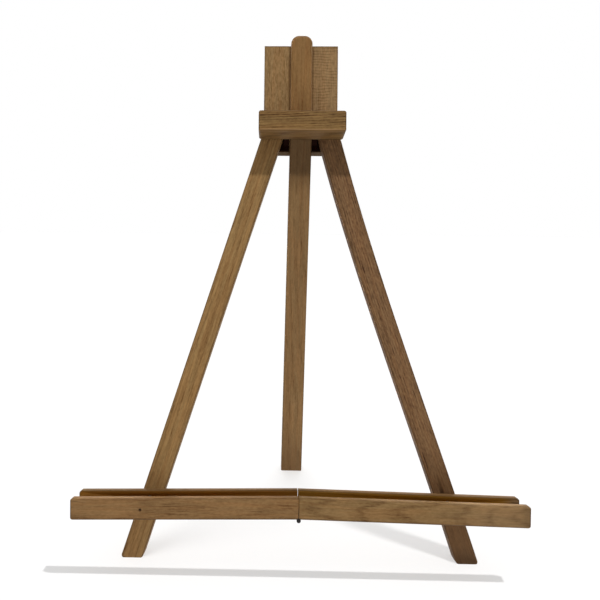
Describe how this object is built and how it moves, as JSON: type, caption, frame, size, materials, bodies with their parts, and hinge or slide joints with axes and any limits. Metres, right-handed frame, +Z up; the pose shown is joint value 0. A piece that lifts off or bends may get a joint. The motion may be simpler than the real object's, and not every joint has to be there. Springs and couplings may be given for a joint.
{
  "type": "tabletop easel",
  "caption": "Folding wooden tabletop easel with splayed front legs under a leaning head, a hinged rear leg and a shallow ledge tray that folds as the legs close.",
  "frame": {"origin": "on the floor, under the middle of the opened easel's box", "axes": "+Z up, -Y towards the person facing the picture, +X to that person's right"},
  "size_m": [0.5028, 0.2756, 0.5984],
  "materials": {
    "header_oak": "oiled oak, satin",
    "slat_oak": "oiled oak, satin",
    "panel_oak": "oiled oak, satin",
    "left_leg_oak": "oiled oak, satin",
    "right_leg_oak": "oiled oak, satin",
    "rear_leg_oak": "oiled oak, satin",
    "tray_lip_oak": "oiled oak, satin",
    "tray_base_oak": "oiled oak, satin",
    "hinge_black": "black lacquer, satin",
    "steel": "zinc plated"
  },
  "bodies": {
    "head": {"header_bar": "header_oak", "centre_slat": "slat_oak", "header_screws": "steel", "back_panel": "panel_oak", "panel_screws": "steel", "pivot_bolts": "steel", "bolt_washers": "steel", "slat_hinge_leaf": "steel", "slat_hinge_screws": "steel", "head_hinge_pin": "steel"},
    "rear_leg": {"rear_leg": "rear_leg_oak", "leg_hinge_leaf": "steel", "leg_hinge_screws": "steel"},
    "left_leg": {"left_leg": "left_leg_oak", "left_tray_screw": "steel"},
    "right_leg": {"right_leg": "right_leg_oak"},
    "left_tray": {"left_front_lip": "tray_lip_oak", "left_tray_base": "tray_base_oak", "left_back_lip": "tray_lip_oak", "left_tray_washer": "steel", "tray_hinge_left_leaf": "hinge_black", "tray_hinge_left_screws": "hinge_black", "tray_hinge_pin": "hinge_black"},
    "right_tray": {"right_front_lip": "tray_lip_oak", "right_tray_base": "tray_base_oak", "right_back_lip": "tray_lip_oak", "right_tray_washer": "steel", "right_tray_screw": "steel", "tray_hinge_right_leaf": "hinge_black", "tray_hinge_right_screws": "hinge_black"}
  },
  "joints": [
    {"name": "rear_leg_hinge", "type": "hinge", "parent": "head", "child": "rear_leg", "pos_m": [0, 0.00291, 0.4827], "axis": [-1, 0, 0], "range_deg": [0, 26.7]},
    {"name": "left_leg_splay", "type": "hinge", "parent": "head", "child": "left_leg", "pos_m": [-0.032, 0.01128, 0.48385], "axis": [0, -0.9744, 0.225], "range_deg": [0, 17.7]},
    {"name": "right_leg_splay", "type": "hinge", "parent": "head", "child": "right_leg", "pos_m": [0.032, 0.01128, 0.48385], "axis": [0, 0.9744, -0.225], "range_deg": [0, 17.7]},
    {"name": "left_tray_pivot", "type": "hinge", "parent": "left_leg", "child": "left_tray", "pos_m": [-0.16891, -0.10032, 0.06933], "axis": [0, -0.9744, 0.225], "range_deg": [0, 65.63]},
    {"name": "tray_hinge", "type": "hinge", "parent": "left_tray", "child": "right_tray", "pos_m": [0, -0.11872, 0.06079], "axis": [0, 0.9744, -0.225], "range_deg": [0, 166.66]}
  ],
  "couplings": [
    {"joint": "right_leg_splay", "follows": "left_leg_splay", "ratio": 1},
    {"joint": "left_tray_pivot", "follows": "left_leg_splay", "ratio": 3.7078},
    {"joint": "tray_hinge", "follows": "left_leg_splay", "ratio": 9.4156}
  ]
}
